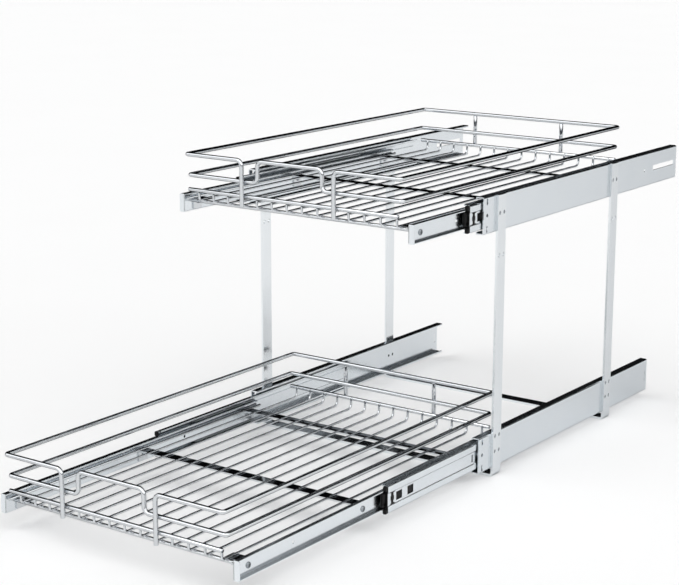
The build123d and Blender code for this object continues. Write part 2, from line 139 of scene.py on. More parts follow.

# %% [markdown]
# ## Bright chrome
# The baskets are drawn steel wire, polished and plated with nickel and chromium. The eye
# sees an almost perfect mirror: white where it meets the studio, black where it meets the
# curtain behind the organiser. Polishing and plating leave the gloss slightly uneven, so the
# roughness wanders a little along each wire. The near-black specular tint darkens the very
# rim of the wire: a little of that is the real dip of chrome over nickel at a grazing angle,
# the rest is a painted dark outline, a painted reflection of shade.

# %% Chrome plate on drawn wire
chrome, tree = new_material("chrome plate on drawn steel wire")
place = put(tree, "ShaderNodeTexCoord").outputs["Object"]
unevenness = cloud(tree, place, PER_MM / 9.0, 3.0, 0.6)
orange_peel = cloud(tree, place, PER_MM / 1.6, 1.0)
# Specular Tint #101112: a painted dark outline along the rim of each wire, deeper than chrome's
# real grazing dip
shader = put(
    tree,
    "ShaderNodeBsdfPrincipled",
    {"Base Color": linear("#D3D6D9"), "Metallic": 1.0, "Specular Tint": linear("#101112")},
    {"Roughness": gloss(tree, unevenness, 0.03, 0.09), "Normal": relief(tree, orange_peel, 0.06)},
)
put(tree, "ShaderNodeOutputMaterial", links={"Surface": shader.outputs["BSDF"]})
print("made", chrome.name)

# %% [markdown]
# ## Zinc-plated sheet
# Rails, slide members, straps and fasteners are steel with a bright, pale blue zinc plate.
# Rolling leaves a fine grain along the strip, and the plating dries in soft patches. One
# builder serves them all, because they differ only in tone, gloss and grain: the slides are
# rolled along Y, the straps along Z, and turned fasteners have no direction at all.

# %% Zinc-plated steel
def zinc_plate(name, tone, patch_tone, gloss_range, grain_mm):
    """Plated steel whose grain has the given size in millimetres along X, Y and Z."""
    material, tree = new_material(name)
    place = put(tree, "ShaderNodeTexCoord").outputs["Object"]
    stretch = put(
        tree,
        "ShaderNodeMapping",
        {"Scale": [PER_MM / size for size in grain_mm]},
        {"Vector": place},
    )
    grain = cloud(tree, stretch.outputs["Vector"], 1.0, 4.0, 0.65)
    colour = put(
        tree,
        "ShaderNodeMix",
        {6: linear(tone), 7: linear(patch_tone)},
        {0: cloud(tree, place, PER_MM / 30.0)},
        data_type="RGBA",
    )
    shader = put(
        tree,
        "ShaderNodeBsdfPrincipled",
        {"Metallic": 1.0, "Specular Tint": linear("#6E7276")},
        {
            "Base Color": colour.outputs[2],
            "Roughness": gloss(tree, grain, *gloss_range),
            "Normal": relief(tree, grain, 0.05),
        },
    )
    put(tree, "ShaderNodeOutputMaterial", links={"Surface": shader.outputs["BSDF"]})
    return material


slide_zinc = zinc_plate(
    "bright zinc plate on roll-formed slide", "#E9EDF0", "#E3E8EC", (0.16, 0.24), (0.5, 25.0, 0.5)
)
strap_zinc = zinc_plate(
    "bright zinc plate on bent strap", "#EEF1F3", "#E8ECEF", (0.14, 0.22), (0.5, 0.5, 25.0)
)
fastener_zinc = zinc_plate(
    "zinc plate on cold-headed fastener", "#A9AEB2", "#94999D", (0.22, 0.34), (0.6, 0.6, 0.6)
)
cage_zinc = zinc_plate(
    "plain zinc plate on pressed cage strip", "#B4B8BA", "#9FA4A7", (0.34, 0.48), (0.5, 8.0, 0.5)
)
ball_steel = zinc_plate(
    "polished bearing steel", "#D3D6D8", "#C9CCCF", (0.04, 0.08), (0.4, 0.4, 0.4)
)
print("made", slide_zinc.name, "and its four relatives")

# %% [markdown]
# ## Black acetal
# Noses and release levers are injection moulded in black acetal. The mould was spark
# eroded, so the skin is a fine satin grain. The real grain is under 0.1 mm; it is drawn at
# 0.35 mm, because anything finer would only show as noise at this distance.

# %% Moulded black plastic
acetal, tree = new_material("moulded black acetal")
place = put(tree, "ShaderNodeTexCoord").outputs["Object"]
mould_grain = cloud(tree, place, PER_MM / 0.35)
wear = cloud(tree, place, PER_MM / 7.0, 3.0)
shader = put(
    tree,
    "ShaderNodeBsdfPrincipled",
    {"Base Color": linear("#060607"), "IOR": 1.48, "Specular IOR Level": 0.2},
    {"Roughness": gloss(tree, wear, 0.34, 0.52), "Normal": relief(tree, mould_grain, 0.2)},
)
put(tree, "ShaderNodeOutputMaterial", links={"Surface": shader.outputs["BSDF"]})
print("made", acetal.name)

# %% [markdown]
# ## From a drawing in millimetres to a piece
# Every piece is drawn in a bmesh at its real place. This helper scales it to metres, turns
# its faces outwards, marks edges sharp where the faces meet steeply, and lets it ride on
# its CAD body. An optional live Bevel breaks the sheared edges of sheet metal, and the
# Weighted Normal after it keeps the large faces flat.

# %% Finish a piece
MM = 0.001
SHARP_ANGLE = math.radians(38)
MERGE_MM = 0.002


def finish_piece(name, bm, body, material, nodes=(), broken_edge=0.0):
    """Makes a piece of a drawing in millimetres, which stands for the named CAD nodes."""
    bmesh.ops.scale(bm, vec=(MM, MM, MM), verts=bm.verts)
    bmesh.ops.recalc_face_normals(bm, faces=bm.faces)
    open_edges = sum(edge.is_boundary for edge in bm.edges)
    mesh = bpy.data.meshes.new(name)
    bm.to_mesh(mesh)
    bm.free()
    mesh.shade_smooth()
    mesh.set_sharp_from_angle(angle=SHARP_ANGLE)
    mesh.materials.append(material)
    piece = bpy.data.objects.new(name, mesh)
    scene.collection.objects.link(piece)
    if broken_edge:
        bevel = piece.modifiers.new("broken edges", "BEVEL")
        bevel.width = broken_edge * MM
        bevel.segments = 2
        bevel.limit_method = "ANGLE"
        bevel.angle_limit = SHARP_ANGLE
        normals = piece.modifiers.new("flat faces stay flat", "WEIGHTED_NORMAL")
        normals.keep_sharp = False
    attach(piece, body)
    if nodes:
        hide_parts(*nodes)
    if open_edges:
        print(name, "has open edges:", open_edges)


print("one millimetre is", MM, "m")

# %% [markdown]
# ## Solids to draw with
# A sheet-metal section is a flat outline pushed along its length, so `prism` extrudes one.
# `block` and `pin` are for lugs and cutting tools, `turned` spins a profile for screw and
# rivet heads, and `stamp` repeats a ready shape. Extrude and spin keep the faces in clean
# strips, where typed lists of faces would be easy to get wrong.

# %% Prism, block, pin, turned shape and stamp
def new_verts(made):
    """The vertices among the things that a bmesh operator made."""
    return [part for part in made["geom"] if isinstance(part, bmesh.types.BMVert)]


def prism(bm, outline, push):
    """A closed outline, pushed into a solid."""
    base = bm.faces.new([bm.verts.new(point) for point in outline])
    rim = list(base.edges)
    made = bmesh.ops.extrude_face_region(bm, geom=[base])
    bmesh.ops.translate(bm, verts=new_verts(made), vec=push)
    if any(edge.is_boundary for edge in rim):
        bmesh.ops.holes_fill(bm, edges=[edge for edge in rim if edge.is_boundary], sides=0)


def block(bm, low, high, ease=0.0):
    """A box between two corners, with eased edges if asked."""
    low, high = Vector(map(min, low, high)), Vector(map(max, low, high))
    shape = Matrix.LocRotScale((low + high) / 2, None, high - low)
    made = bmesh.ops.create_cube(bm, size=1.0, matrix=shape)
    if ease:
        edges = {edge for vert in made["verts"] for edge in vert.link_edges}
        bmesh.ops.bevel(
            bm, geom=list(edges), offset=ease, offset_type="OFFSET", segments=3,
            profile=0.5, affect="EDGES", clamp_overlap=True, material=-1,
        )


def pin(bm, centre, direction, radius, length, sides=24):
    """A round bar about a centre."""
    turn = Vector(direction).to_track_quat("Z", "Y").to_matrix().to_4x4()
    bmesh.ops.create_cone(
        bm, cap_ends=True, cap_tris=False, segments=sides, radius1=radius, radius2=radius,
        depth=length, matrix=Matrix.Translation(centre) @ turn,
    )


def turned(name, profile, steps):
    """A mesh turned about Z from a profile of (radius, height) points."""
    bm = bmesh.new()
    points = [bm.verts.new((radius, 0.0, height)) for radius, height in profile]
    edges = [bm.edges.new(pair) for pair in zip(points, points[1:])]
    bmesh.ops.spin(
        bm, geom=points + edges, cent=(0, 0, 0), axis=(0, 0, 1), angle=math.tau,
        steps=steps, use_merge=True,
    )
    bmesh.ops.remove_doubles(bm, verts=bm.verts, dist=MERGE_MM)
    bmesh.ops.recalc_face_normals(bm, faces=bm.faces)
    mesh = bpy.data.meshes.new(name)
    bm.to_mesh(mesh)
    bm.free()
    return mesh


def stamp(bm, pattern, place):
    """Adds a copy of a ready mesh, moved by a matrix."""
    before = len(bm.verts)
    bm.from_mesh(pattern)
    bm.verts.ensure_lookup_table()
    bmesh.ops.transform(bm, matrix=place, verts=bm.verts[before:])


print("drawing helpers are ready")

# %% [markdown]
# ## Punching and bending
# Holes and slots are punched with a Boolean, which is what a press does: one object holds
# all the punches, and the result is read back into the drawing. Bends are bevels of the
# lengthwise edges, so the outside and the inside of a bend each get their own radius.

# %% Punch and bend
def punched(bm, tools):
    """The drawing with every tool shape cut out of it."""
    objects = []
    for name, drawing in (("blank", bm), ("tools", tools)):
        bmesh.ops.recalc_face_normals(drawing, faces=drawing.faces)
        mesh = bpy.data.meshes.new(name)
        drawing.to_mesh(mesh)
        drawing.free()
        objects.append(bpy.data.objects.new(name, mesh))
        scene.collection.objects.link(objects[-1])
    blank, cutter = objects
    cut = blank.modifiers.new("punch", "BOOLEAN")
    cut.operation, cut.solver, cut.object = "DIFFERENCE", "EXACT", cutter
    shown = blank.evaluated_get(bpy.context.evaluated_depsgraph_get())
    result = bmesh.new()
    result.from_mesh(shown.to_mesh())
    bmesh.ops.remove_doubles(result, verts=result.verts, dist=MERGE_MM)
    for thing in objects:
        mesh = thing.data
        bpy.data.objects.remove(thing)
        bpy.data.meshes.remove(mesh)
    return result


def bend(bm, corners, radius, segments=5):
    """Rounds the edges along Y that pass through the given (x, z) corners."""
    def passes(vert):
        return any(abs(vert.co.x - x) + abs(vert.co.z - z) < MERGE_MM for x, z in corners)

    edges = [
        edge for edge in bm.edges
        if all(map(passes, edge.verts)) and abs(edge.verts[0].co.y - edge.verts[1].co.y) > 1.0
    ]
    bmesh.ops.bevel(
        bm, geom=edges, offset=radius, offset_type="OFFSET", segments=segments,
        profile=0.5, affect="EDGES", clamp_overlap=False, material=-1,
    )


print("press and brake are ready")

# %% [markdown]
# ## Where things are
# The CAD boxes give every place: the outsides of the rails, the slides' centre lines and
# the wires' centres. Reading them here keeps the looks on the same frame as the structure.

# %% Places, in millimetres
def box_mm(node):
    """Lowest and highest corner of a CAD node, in millimetres."""
    low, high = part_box(node)
    return low / MM, high / MM


TIERS = ("lower", "upper")
SIDES = {"left": -1, "right": 1}
DECK_WIRE, SIDE_WIRE, CROSS_WIRE, LIP_WIRE, GUARD_WIRE = 2.8, 3.0, 4.5, 5.0, 5.2
RAIL_HEIGHT = 45.0
RAIL_SHEET = 1.5

rail_outside = box_mm("lower_rail_right")[1].x
strap_outside = box_mm("front_strap")[1].x


class Tier:
    """The places of one tier's slides and wires."""

    def __init__(self, name):
        self.name = name
        low, high = box_mm(f"{name}_rail_right")
        self.slide_z = (low.z + high.z) / 2
        self.rail_front, self.rail_rear = low.y, high.y
        self.middle_front, self.middle_rear = (c.y for c in box_mm(f"{name}_middle_member_right"))
        self.inner_front, self.inner_rear = (c.y for c in box_mm(f"{name}_inner_member_right"))
        low, high = box_mm(f"{name}_side_wires")
        self.deck_z = (low.z + high.z) / 2
        self.side_x = high.x - SIDE_WIRE / 2
        self.side_front, self.side_rear = low.y, high.y
        low, high = box_mm(f"{name}_lip_wires")
        self.lip_z = (low.z + high.z) / 2
        self.lip_left, self.lip_right = low.x, high.x
        self.lip_front, self.lip_rear = low.y + LIP_WIRE / 2, high.y - LIP_WIRE / 2
        low, high = box_mm(f"{name}_top_guard_wire")
        self.guard_x = high.x - GUARD_WIRE / 2
        self.front, self.rear = low.y + GUARD_WIRE / 2, high.y - GUARD_WIRE / 2
        self.top_z = high.z - GUARD_WIRE / 2
        self.low_z = box_mm(f"{name}_low_guard_wire")[0].z + GUARD_WIRE / 2


tiers = {name: Tier(name) for name in TIERS}
for tier in tiers.values():
    heights = [round(z, 1) for z in (tier.slide_z, tier.deck_z, tier.top_z)]
    print(tier.name, "slide, deck and guard heights:", heights)


def x_at(side, depth):
    """X of a depth in from the outside of the rail's web."""
    return side * (rail_outside - depth)


# %% [markdown]
# ## Straps
# Each strap is flat steel, 18 x 3.2 mm, bent into a U. It is drawn as the U's outline
# pushed by the strip's width, then bent and punched. The rivet holes are a touch wider than
# the rivets, so a thin dark ring shows round each one, as it does on the real strap.

# %% Front and rear strap
STRAP_SHEET = 3.2
STRAP_WIDTH = 18.0
STRAP_INSIDE_BEND = 2.0
RIVET_RADIUS = 1.9
RIVET_RING = 0.22
RIVET_SPACING = 9.5
RIVET_ROWS = {"lower": (18.6, -0.8), "upper": (0.0,)}
SPARE_ROW = -51.2
FLOOR_SCREW_SPACING = 240.0
FLOOR_SCREW_RADIUS = 2.5

strap_high = box_mm("front_strap")[1]
strap_y = {place: sum(c.y for c in box_mm(f"{place}_strap")) / 2 for place in ("front", "rear")}
rivet_heights = [tiers[name].slide_z + row for name in TIERS for row in RIVET_ROWS[name]]
hole_heights = rivet_heights + [tiers["upper"].slide_z + SPARE_ROW]

for place, y in strap_y.items():
    out, inner, top = strap_outside, strap_outside - STRAP_SHEET, strap_high.z
    outline = [
        (-out, top), (-out, 0), (out, 0), (out, top),
        (inner, top), (inner, STRAP_SHEET), (-inner, STRAP_SHEET), (-inner, top),
    ]
    bm = bmesh.new()
    prism(bm, [(x, y - STRAP_WIDTH / 2, z) for x, z in outline], (0, STRAP_WIDTH, 0))
    bend(bm, [(-out, 0), (out, 0)], STRAP_INSIDE_BEND + STRAP_SHEET, 8)
    bend(bm, [(-inner, STRAP_SHEET), (inner, STRAP_SHEET)], STRAP_INSIDE_BEND, 6)
    tools = bmesh.new()
    for z in hole_heights:
        for shift in (-RIVET_SPACING / 2, RIVET_SPACING / 2):
            for side in SIDES.values():
                middle = (side * (out - STRAP_SHEET / 2), y + shift, z)
                pin(tools, middle, (1, 0, 0), RIVET_RADIUS + RIVET_RING, 3 * STRAP_SHEET)
    for side in SIDES.values():
        middle = (side * FLOOR_SCREW_SPACING / 2, y, STRAP_SHEET / 2)
        pin(tools, middle, (0, 0, 1), FLOOR_SCREW_RADIUS, 3 * STRAP_SHEET, 32)
    finish_piece(
        f"{place}_strap_bent", punched(bm, tools), "frame", strap_zinc,
        [f"{place}_strap"], broken_edge=0.35,
    )
print("straps stand", round(strap_high.z, 1), "mm high")

# %% [markdown]
# ## Rivets
# The rivets are pressed flush with the strap. The press leaves a shallow dimple in the
# middle and a rounded rim, which is what catches the light, so the head is turned from a
# small profile instead of being a plain disc.

# %% Rivets
rivet_length = strap_outside - x_at(1, RAIL_SHEET)
rivet = turned(
    "rivet",
    [
        (0, -0.35), (0.55, -0.3), (0.95, -0.08), (1.3, 0.0), (RIVET_RADIUS - 0.2, -0.06),
        (RIVET_RADIUS, -0.3), (RIVET_RADIUS, -rivet_length), (0, -rivet_length),
    ],
    24,
)
bm = bmesh.new()
for side in SIDES.values():
    outwards = Vector((side, 0, 0)).to_track_quat("Z", "Y").to_matrix().to_4x4()
    for y in strap_y.values():
        for z in rivet_heights:
            for shift in (-RIVET_SPACING / 2, RIVET_SPACING / 2):
                spot = Matrix.Translation((side * strap_outside, y + shift, z))
                stamp(bm, rivet, spot @ outwards)
finish_piece("rail_rivets_pressed", bm, "frame", fastener_zinc, ["rail_rivets"])
print("rivets:", 2 * 2 * 2 * len(rivet_heights))

# %% [markdown]
# ## Rails
# The outer member of a ball slide is roll formed: a web with two flanges whose edges turn
# in to hold the balls. Its bends have an outside radius of 2 mm, and it is the dark line
# along each bend that draws the rail in the picture, so the bends are real geometry.

# %% Rails
RAIL_DEPTH = 10.8
RAIL_LIP = 1.3
RAIL_SLOT = (3.0, 7.0)
RAIL_SLOT_INSET = 8.0
RAIL_SLOT_OFFSET = 16.5
RAIL_HOLE_RADIUS = 2.0
REAR_SLIT_INSET = 6.0
REAR_SLOT = (65.0, 6.5)
REAR_SLOT_END_GAP = 7.0
REAR_HOLE_INSET = 97.0
REAR_HOLE_RADIUS = 2.5
RAIL_OUTER_BEND, RAIL_INNER_BEND, RAIL_LIP_BEND = 2.0, 0.6, 1.3


def mirrored(upper):
    """A whole (depth, height) outline from the half above a slide's centre line."""
    return upper + [(depth, -height) for depth, height in reversed(upper)]


def slide_section(bm, side, tier, upper, y_front, y_rear):
    """Pushes a slide member's outline along Y. Gives a function from (depth, height) to (x, z)."""
    def spot(depth, height):
        return x_at(side, depth), tier.slide_z + height

    outline = [spot(depth, height) for depth, height in mirrored(upper)]
    prism(bm, [(x, y_front, z) for x, z in outline], (0, y_rear - y_front, 0))
    return spot


def both(spot, depth, height):
    """The (x, z) places of a corner above and below the centre line."""
    return [spot(depth, height), spot(depth, -height)]


def punch_slot(tools, side, tier, y, height, length, tall):
    """A punch for an oblong slot through a rail's web."""
    x = x_at(side, RAIL_SHEET / 2)
    z = tier.slide_z + height
    block(
        tools, (x - RAIL_SHEET, y - length / 2, z - tall / 2),
        (x + RAIL_SHEET, y + length / 2, z + tall / 2),
    )


def punch_hole(tools, side, tier, y, radius):
    """A punch for a round hole on a rail's centre line."""
    middle = (x_at(side, RAIL_SHEET / 2), y, tier.slide_z)
    pin(tools, middle, (1, 0, 0), radius, 3 * RAIL_SHEET)


half = RAIL_HEIGHT / 2
flange = half - RAIL_SHEET
for name, tier in tiers.items():
    for side_name, side in SIDES.items():
        bm = bmesh.new()
        spot = slide_section(
            bm, side, tier,
            [
                (0, half), (RAIL_DEPTH, half), (RAIL_DEPTH, flange - RAIL_LIP),
                (RAIL_DEPTH - RAIL_SHEET, flange - RAIL_LIP), (RAIL_DEPTH - RAIL_SHEET, flange),
                (RAIL_SHEET, flange),
            ],
            tier.rail_front, tier.rail_rear,
        )
        bend(bm, both(spot, 0, half), RAIL_OUTER_BEND, 6)
        bend(bm, both(spot, RAIL_SHEET, flange), RAIL_INNER_BEND, 4)
        bend(bm, both(spot, RAIL_DEPTH, half), RAIL_LIP_BEND, 5)
        tools = bmesh.new()
        slot_y = tier.rail_front + RAIL_SLOT_INSET
        for height in (RAIL_SLOT_OFFSET, -RAIL_SLOT_OFFSET):
            punch_slot(tools, side, tier, slot_y, height, *RAIL_SLOT)
        punch_hole(tools, side, tier, slot_y, RAIL_HOLE_RADIUS)
        if name == "lower":
            slit = (RAIL_SLOT[0], 2 * RAIL_SLOT[1])
            punch_slot(tools, side, tier, tier.rail_rear - REAR_SLIT_INSET, 0, *slit)
        else:
            slot_y = tier.rail_rear - REAR_SLOT_END_GAP - REAR_SLOT[0] / 2
            punch_slot(tools, side, tier, slot_y, 0, *REAR_SLOT)
            punch_hole(tools, side, tier, tier.rail_rear - REAR_HOLE_INSET, REAR_HOLE_RADIUS)
        finish_piece(
            f"{name}_rail_{side_name}_rolled", punched(bm, tools), "frame",
            slide_zinc, [f"{name}_rail_{side_name}"], broken_edge=0.18,
        )
print("rails:", {name: round(t.rail_rear - t.rail_front) for name, t in tiers.items()})

# %% [markdown]
# ## Middle members
# The middle member runs in the rail and carries the inner one. A recessed band stiffens
# its web, two windows near the front take the tongue of the black nose, and its flange
# edges turn out so that the outer balls can't escape.

# %% Middle members
MEMBER_SHEET = 1.2
MIDDLE_WEB = 2.7
MIDDLE_EDGE = 11.5
MIDDLE_HALF = 16.4
MIDDLE_LIP = 1.2
BAND_HALF = 8.0
BAND_DEPTH = 0.8
WINDOW = (12.0, 10.0)
WINDOW_INSETS = (23.0, 46.0)
MIDDLE_SLOT = (3.0, 9.0)
MIDDLE_SLOT_INSET = 180.0
MIDDLE_OUTER_BEND, MIDDLE_INNER_BEND, MIDDLE_LIP_BEND = 1.8, 0.6, 0.8
BAND_EDGE_BEND, BAND_FOOT_BEND = 0.5, 0.4

band_web = MIDDLE_WEB + BAND_DEPTH
for name, tier in tiers.items():
    for side_name, side in SIDES.items():
        bm = bmesh.new()
        back = MIDDLE_WEB + MEMBER_SHEET
        lip_start = MIDDLE_EDGE - MEMBER_SHEET
        spot = slide_section(
            bm, side, tier,
            [
                (band_web, BAND_HALF - BAND_DEPTH), (MIDDLE_WEB, BAND_HALF),
                (MIDDLE_WEB, MIDDLE_HALF), (lip_start, MIDDLE_HALF),
                (lip_start, MIDDLE_HALF + MIDDLE_LIP), (MIDDLE_EDGE, MIDDLE_HALF + MIDDLE_LIP),
                (MIDDLE_EDGE, MIDDLE_HALF - MEMBER_SHEET), (back, MIDDLE_HALF - MEMBER_SHEET),
                (back, BAND_HALF), (band_web + MEMBER_SHEET, BAND_HALF - BAND_DEPTH),
            ],
            tier.middle_front, tier.middle_rear,
        )
        bend(bm, both(spot, MIDDLE_WEB, MIDDLE_HALF), MIDDLE_OUTER_BEND, 6)
        bend(bm, both(spot, back, MIDDLE_HALF - MEMBER_SHEET), MIDDLE_INNER_BEND, 4)
        bend(bm, both(spot, MIDDLE_EDGE, MIDDLE_HALF - MEMBER_SHEET), MIDDLE_LIP_BEND, 4)
        bend(bm, both(spot, MIDDLE_WEB, BAND_HALF), BAND_EDGE_BEND, 3)
        bend(bm, both(spot, band_web, BAND_HALF - BAND_DEPTH), BAND_FOOT_BEND, 3)
        tools = bmesh.new()
        x = x_at(side, band_web + MEMBER_SHEET / 2)
        cuts = [(inset, WINDOW) for inset in WINDOW_INSETS] + [(MIDDLE_SLOT_INSET, MIDDLE_SLOT)]
        for inset, (length, tall) in cuts:
            y = tier.middle_front + inset
            block(
                tools, (x - 2 * MEMBER_SHEET, y - length / 2, tier.slide_z - tall / 2),
                (x + 2 * MEMBER_SHEET, y + length / 2, tier.slide_z + tall / 2),
            )
        finish_piece(
            f"{name}_middle_member_{side_name}_rolled", punched(bm, tools),
            f"{name}_middle_{side_name}", slide_zinc,
            [f"{name}_middle_member_{side_name}"], broken_edge=0.15,
        )
print("middle members:", round(tier.middle_rear - tier.middle_front), "mm long")

# %% [markdown]
# ## Inner members
# The inner member is screwed to the basket. Its flanges face the balls, its front end is
# closed by a tab bent across the section, and a fixed pin carries the release lever.

# %% Inner members
INNER_DEPTH = 6.5
SLIDE_THICKNESS = 12.7
INNER_HALF = 11.2
TAB_DEPTH = 8.0
TAB_HALF = 10.5
SPARE_HOLE_INSETS = (98.0, 303.0)
SPARE_HOLE_RADIUS = 1.8
LEVER_PIVOT_INSET = 276.0
LEVER_PIN_RADIUS = 1.8
LEVER_PIN_LENGTH = 4.4
INNER_OUTER_BEND, INNER_INNER_BEND = 1.6, 0.5
TAB_EASE = 0.5
inner_web = SLIDE_THICKNESS - MEMBER_SHEET
inner_edge = SLIDE_THICKNESS - INNER_DEPTH

for name, tier in tiers.items():
    for side_name, side in SIDES.items():
        bm = bmesh.new()
        spot = slide_section(
            bm, side, tier,
            [
                (SLIDE_THICKNESS, INNER_HALF), (inner_edge, INNER_HALF),
                (inner_edge, INNER_HALF - MEMBER_SHEET), (inner_web, INNER_HALF - MEMBER_SHEET),
            ],
            tier.inner_front, tier.inner_rear,
        )
        bend(bm, both(spot, SLIDE_THICKNESS, INNER_HALF), INNER_OUTER_BEND, 6)
        bend(bm, both(spot, inner_web, INNER_HALF - MEMBER_SHEET), INNER_INNER_BEND, 4)
        tools = bmesh.new()
        for inset in SPARE_HOLE_INSETS:
            middle = (x_at(side, inner_web), tier.inner_front + inset, tier.slide_z)
            pin(tools, middle, (1, 0, 0), SPARE_HOLE_RADIUS, 4 * MEMBER_SHEET)
        bm = punched(bm, tools)
        tab_x = x_at(side, SLIDE_THICKNESS), x_at(side, SLIDE_THICKNESS - TAB_DEPTH)
        tab_y = tier.inner_front, tier.inner_front + MEMBER_SHEET
        tab_z = tier.slide_z - TAB_HALF, tier.slide_z + TAB_HALF
        block(bm, (tab_x[0], tab_y[0], tab_z[0]), (tab_x[1], tab_y[1], tab_z[1]), TAB_EASE)
        pin_x = x_at(side, inner_web - LEVER_PIN_LENGTH / 2)
        middle = (pin_x, tier.inner_front + LEVER_PIVOT_INSET, tier.slide_z)
        pin(bm, middle, (1, 0, 0), LEVER_PIN_RADIUS, LEVER_PIN_LENGTH)
        finish_piece(
            f"{name}_inner_member_{side_name}_rolled", bm, f"{name}_basket",
            slide_zinc, [f"{name}_inner_member_{side_name}"], broken_edge=0.15,
        )
print("inner members:", round(tier.inner_rear - tier.inner_front), "mm long")

# %% [markdown]
# ## Slide screws
# Each basket hangs on six pan-head screws with a cross recess. The head is turned from its
# profile, then the cross is punched into it. Every screw stops at its own angle, so the
# recess is turned a little further on each one.

# %% Screws
SCREW_INSETS = (22.5, 224.5, 426.5)
SCREW_DROP = 1.0
HEAD_RADIUS = 3.6
HEAD_HEIGHT = 1.6
SHANK_RADIUS = 2.0
SHANK_LENGTH = 4.2
RECESS_WIDTH = 1.3
RECESS_LENGTH = 4.6
RECESS_DEPTH = 1.3
SCREW_TURN_STEP = 37.0

head = turned(
    "screw",
    [
        (0, HEAD_HEIGHT), (0.5 * HEAD_RADIUS, 0.96 * HEAD_HEIGHT),
        (0.78 * HEAD_RADIUS, 0.8 * HEAD_HEIGHT), (0.94 * HEAD_RADIUS, 0.5 * HEAD_HEIGHT),
        (HEAD_RADIUS, 0.2 * HEAD_HEIGHT), (HEAD_RADIUS, 0), (SHANK_RADIUS, 0),
        (SHANK_RADIUS, -SHANK_LENGTH), (0, -SHANK_LENGTH),
    ],
    32,
)
bm, tools = bmesh.new(), bmesh.new()
bm.from_mesh(head)
arm, waist = RECESS_LENGTH / 2, RECESS_WIDTH / 2
quarter = [(arm, -waist), (arm, waist), (waist, waist)]
cross = [
    Matrix.Rotation(turn * math.pi / 2, 2) @ Vector(corner)
    for turn in range(4)
    for corner in quarter
]
prism(tools, [(x, y, HEAD_HEIGHT - RECESS_DEPTH) for x, y in cross], (0, 0, 2 * RECESS_DEPTH))
screw_drawing = punched(bm, tools)
screw = bpy.data.meshes.new("recessed screw")
screw_drawing.to_mesh(screw)
print("one screw has", len(screw_drawing.verts), "vertices")
screw_drawing.free()

for name, tier in tiers.items():
    bm = bmesh.new()
    number = 0
    for side in SIDES.values():
        outwards = Vector((side, 0, 0)).to_track_quat("Z", "Y").to_matrix().to_4x4()
        for inset in SCREW_INSETS:
            spot = (x_at(side, inner_web), tier.inner_front + inset, tier.slide_z - SCREW_DROP)
            turn = Matrix.Rotation(math.radians(number * SCREW_TURN_STEP), 4, "Z")
            stamp(bm, screw, Matrix.Translation(spot) @ outwards @ turn)
            number += 1
    finish_piece(
        f"{name}_slide_screws_recessed", bm, f"{name}_basket", fastener_zinc,
        [f"{name}_slide_screws"],
    )
print("screws in each basket:", number)

# %% [markdown]
# ## Noses
# A black moulded nose is clipped on the front of each middle member. Two lobes stand
# ahead of its flanges, joined by a slim bar, and a bumper fills the middle behind them. On
# the outside of the web a small wavy clip hooks into the recessed band, and a tongue behind
# the web fills the windows with black.

# %% Noses
NOSE_START = 3.1  # depth of the nose's outside: the web's edge stays bare before it
NOSE_BAR = (NOSE_START, 6.4)
LOBE = (NOSE_START, 7.8)
LOBE_EDGE = 1.5
LOBE_REACH = 4.6
LOBE_HEIGHTS = (10.4, 16.6)
BUMPER = (5.0, 9.6)
BUMPER_REACH = 7.6
BUMPER_TIP = (-7.4, -1.6)
CLIP = (2.9, 3.9)
BAR_REACH, BAR_EASE = 1.4, 0.6
BAR_LAP = 2.0  # how far the bar runs into each lobe
CLIP_WAVES = ((4.1, 1.9), (0.0, 3.0), (-4.1, 1.9))  # height and half the length of each wave
CLIP_WAVE_HALF = 2.7
CLIP_MIDDLE = 9.2  # behind the member's front edge
CLIP_HOOK = (6.2, 7.6)
CLIP_HOOK_AHEAD, CLIP_HOOK_BEHIND = 3.4, 4.6
CLIP_EASE = 0.45
BUMPER_HALF, BUMPER_EASE, BUMPER_TIP_EASE = 8.6, 1.9, 1.6
TONGUE = (4.8, 5.8)
TONGUE_LENGTH, TONGUE_AHEAD = 56.0, 0.5
TONGUE_HALF, TONGUE_EASE = 6.2, 0.3


def lump(bm, side, tier, depths, reaches, heights, ease):
    """A moulded lump; reaches are ahead of the middle member's front edge."""
    front = tier.middle_front
    low = (x_at(side, depths[0]), front - reaches[0], tier.slide_z + heights[0])
    high = (x_at(side, depths[1]), front - reaches[1], tier.slide_z + heights[1])
    block(bm, low, high, ease)


bar_half = LOBE_HEIGHTS[0] + BAR_LAP
lumps = [(NOSE_BAR, (BAR_REACH, 0.0), (-bar_half, bar_half), BAR_EASE)]
for up in (1, -1):
    low, high = (up * height for height in LOBE_HEIGHTS)
    lumps.append((LOBE, (LOBE_REACH, 0.0), (low, high), LOBE_EDGE))
    low, high = (up * height for height in CLIP_HOOK)
    hook = (-CLIP_MIDDLE + CLIP_HOOK_AHEAD, -CLIP_MIDDLE - CLIP_HOOK_BEHIND)
    lumps.append((CLIP, hook, (low, high), CLIP_EASE))
for height, half_length in CLIP_WAVES:
    wave = (-CLIP_MIDDLE + half_length, -CLIP_MIDDLE - half_length)
    lumps.append((CLIP, wave, (height - CLIP_WAVE_HALF, height + CLIP_WAVE_HALF), CLIP_EASE))
lumps += [
    (BUMPER, (BUMPER_REACH, 0.0), (-BUMPER_HALF, BUMPER_HALF), BUMPER_EASE),
    (BUMPER, (BUMPER_REACH, 0.0), BUMPER_TIP, BUMPER_TIP_EASE),
    (TONGUE, (TONGUE_AHEAD, -TONGUE_LENGTH), (-TONGUE_HALF, TONGUE_HALF), TONGUE_EASE),
]

